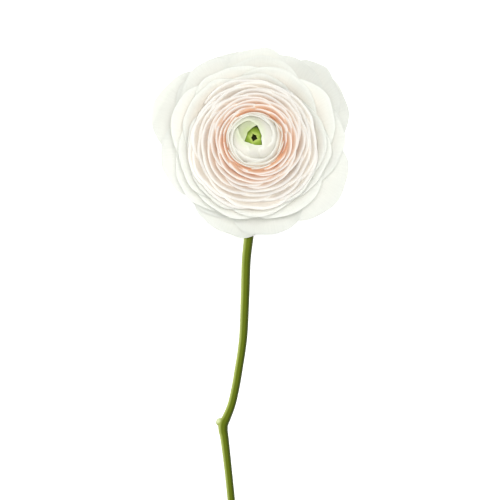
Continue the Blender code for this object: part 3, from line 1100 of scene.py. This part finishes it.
def make_stub(material):
    """The healed stub of a side shoot, half sunk in the stem's joint."""
    bpy.ops.mesh.primitive_uv_sphere_add(segments=28, ring_count=18, radius=STUB_RADIUS)
    made = bpy.context.object
    mesh = made.data
    mesh.polygons.foreach_set("use_smooth", np.ones(len(mesh.polygons), bool))
    mesh.materials.append(material)
    # The stub gets painted light towards its lit side and painted shade away from it.
    lit_side = Vector(STUB_LIT_SIDE)
    towards_light = np.array([vertex.co.normalized().dot(lit_side) for vertex in mesh.vertices])
    add_flank(made, STUB_FLANK + STUB_FLANK_GROWTH * towards_light)
    for vertex in mesh.vertices:
        spot = np.array(vertex.co) * STUB_SCALE + (*STUB_CENTRE, STUB_RADIUS)
        vertex.co = resting(placed(spot, TABLE_TO_SCENE), STEM_CLEARANCE)
    return made


def make_receptacle(material):
    """The cone the petals grow from, rounded off where the stalk leaves it."""
    root = np.array(0.0)
    top_radius, top = section(np.array(CONE_TOP_LAYER), root)
    foot_radius, foot = section(np.array(CONE_FOOT_LAYER), root)
    outline = [
        (AXIS_RADIUS, top + CONE_TOP_RISE),
        (top_radius - CONE_TOP_INSET, top + CONE_TOP_RISE),
        (top_radius - CONE_INSET, top),
        (foot_radius - CONE_INSET, foot),
    ]
    outline += [(foot_radius * share, foot - depth) for share, depth in CONE_UNDERSIDE]
    outline.append((AXIS_RADIUS, foot - CONE_DEPTH))
    points = placed(turned(outline, CONE_SIDES), BLOOM_TO_SCENE)
    made = mesh_object("receptacle", points, tube_faces(len(outline), CONE_SIDES), material)
    add_flank(made, np.zeros(len(points)))
    return made


def make_stem():
    """The stalk, its stub and the receptacle, which are one growth."""
    material = stem_material()
    stalk = make_stalk(material)
    parts = [stalk, make_stub(material), make_receptacle(material)]
    with bpy.context.temp_override(active_object=stalk, selected_editable_objects=parts):
        bpy.ops.object.join()
    finish_piece(stalk, "stem")


# ---------------------------------------------------------------- setting, in metres


class Lamp(NamedTuple):
    """A round area light."""

    place: tuple
    target: tuple
    size: float
    power: float


FRONT_LIGHT = Lamp((0.05, 0.145, 1.75), (0, 0.04, 0), 0.65, 37.0)
KEY_LIGHT = Lamp((-0.5, -0.10, 0.16), (-0.005, -0.03, 0), 0.2, 0.6)
WORLD_STRENGTH = 0.27

CAMERA_HEIGHT = 1.2
FOCUS_HEIGHT = 0.012  # of the level at which the picture is measured
VIEW_WIDTH = 0.195  # across the picture at that level
HEART_RIGHT = 0.00195  # how far right of the picture's middle the heart is seen, at that level
HEART_ABOVE = 0.043446  # and how far above it
HEART_TOP = 24.0  # millimetres above the shoulder
SENSOR_WIDTH = 36  # millimetres

FLOOR_SIZE = 6
FLOOR_COLOUR = (0.93, 0.93, 0.93, 1)
FLOOR_GLOW = 0.35
WHITE = (1, 1, 1, 1)


def make_camera():
    """Looks straight down, with the heart above the picture's middle and the stem below it."""
    heart = Vector(placed(np.array((0.0, 0.0, HEART_TOP)), BLOOM_TO_SCENE))
    # The heart stands above the focus height, so it is seen further out than it is.
    nearness = (CAMERA_HEIGHT - FOCUS_HEIGHT) / (CAMERA_HEIGHT - heart.z)
    x = heart.x - HEART_RIGHT / nearness
    y = heart.y - HEART_ABOVE / nearness
    data = bpy.data.cameras.new("camera")
    data.sensor_width = SENSOR_WIDTH
    data.lens = SENSOR_WIDTH * (CAMERA_HEIGHT - FOCUS_HEIGHT) / VIEW_WIDTH
    data.clip_end = 20
    camera = bpy.data.objects.new("camera", data)
    camera.location = (x, y, CAMERA_HEIGHT)
    bpy.context.scene.collection.objects.link(camera)
    bpy.context.scene.camera = camera


def make_floor():
    bpy.ops.mesh.primitive_plane_add(size=FLOOR_SIZE, location=(0, 0, 0))
    floor = bpy.context.object
    floor.name = "floor"
    material = new_material("floor")
    shader = principled(material)
    shader.inputs["Base Color"].default_value = FLOOR_COLOUR
    shader.inputs["Roughness"].default_value = 0.9
    shader.inputs["Specular IOR Level"].default_value = 0.0
    shader.inputs["Emission Color"].default_value = WHITE
    shader.inputs["Emission Strength"].default_value = FLOOR_GLOW
    floor.data.materials.append(material)


def area_light(name, lamp, glossy=True):
    data = bpy.data.lights.new(name, "AREA")
    data.shape = "DISK"
    data.size = lamp.size
    data.energy = lamp.power
    made = bpy.data.objects.new(name, data)
    made.location = lamp.place
    direction = Vector(lamp.target) - Vector(lamp.place)
    made.rotation_euler = direction.to_track_quat("-Z", "Y").to_euler()
    made.visible_glossy = glossy
    bpy.context.scene.collection.objects.link(made)


def make_lights():
    """An even white room, a broad light above the bloom and a low one on the stem's lit flank."""
    world = bpy.data.worlds.new("studio")
    world.use_nodes = True
    background = world.node_tree.nodes["Background"]
    background.inputs["Color"].default_value = WHITE
    background.inputs["Strength"].default_value = WORLD_STRENGTH
    bpy.context.scene.world = world
    area_light("front", FRONT_LIGHT, glossy=False)
    area_light("key", KEY_LIGHT)


make_outer_petals()
make_blush_petals()
make_heart_petals()
make_eye_petals()
make_calyx()
make_carpels()
make_stem()

make_camera()
make_floor()
make_lights()
bpy.context.scene.view_settings.view_transform = "Standard"
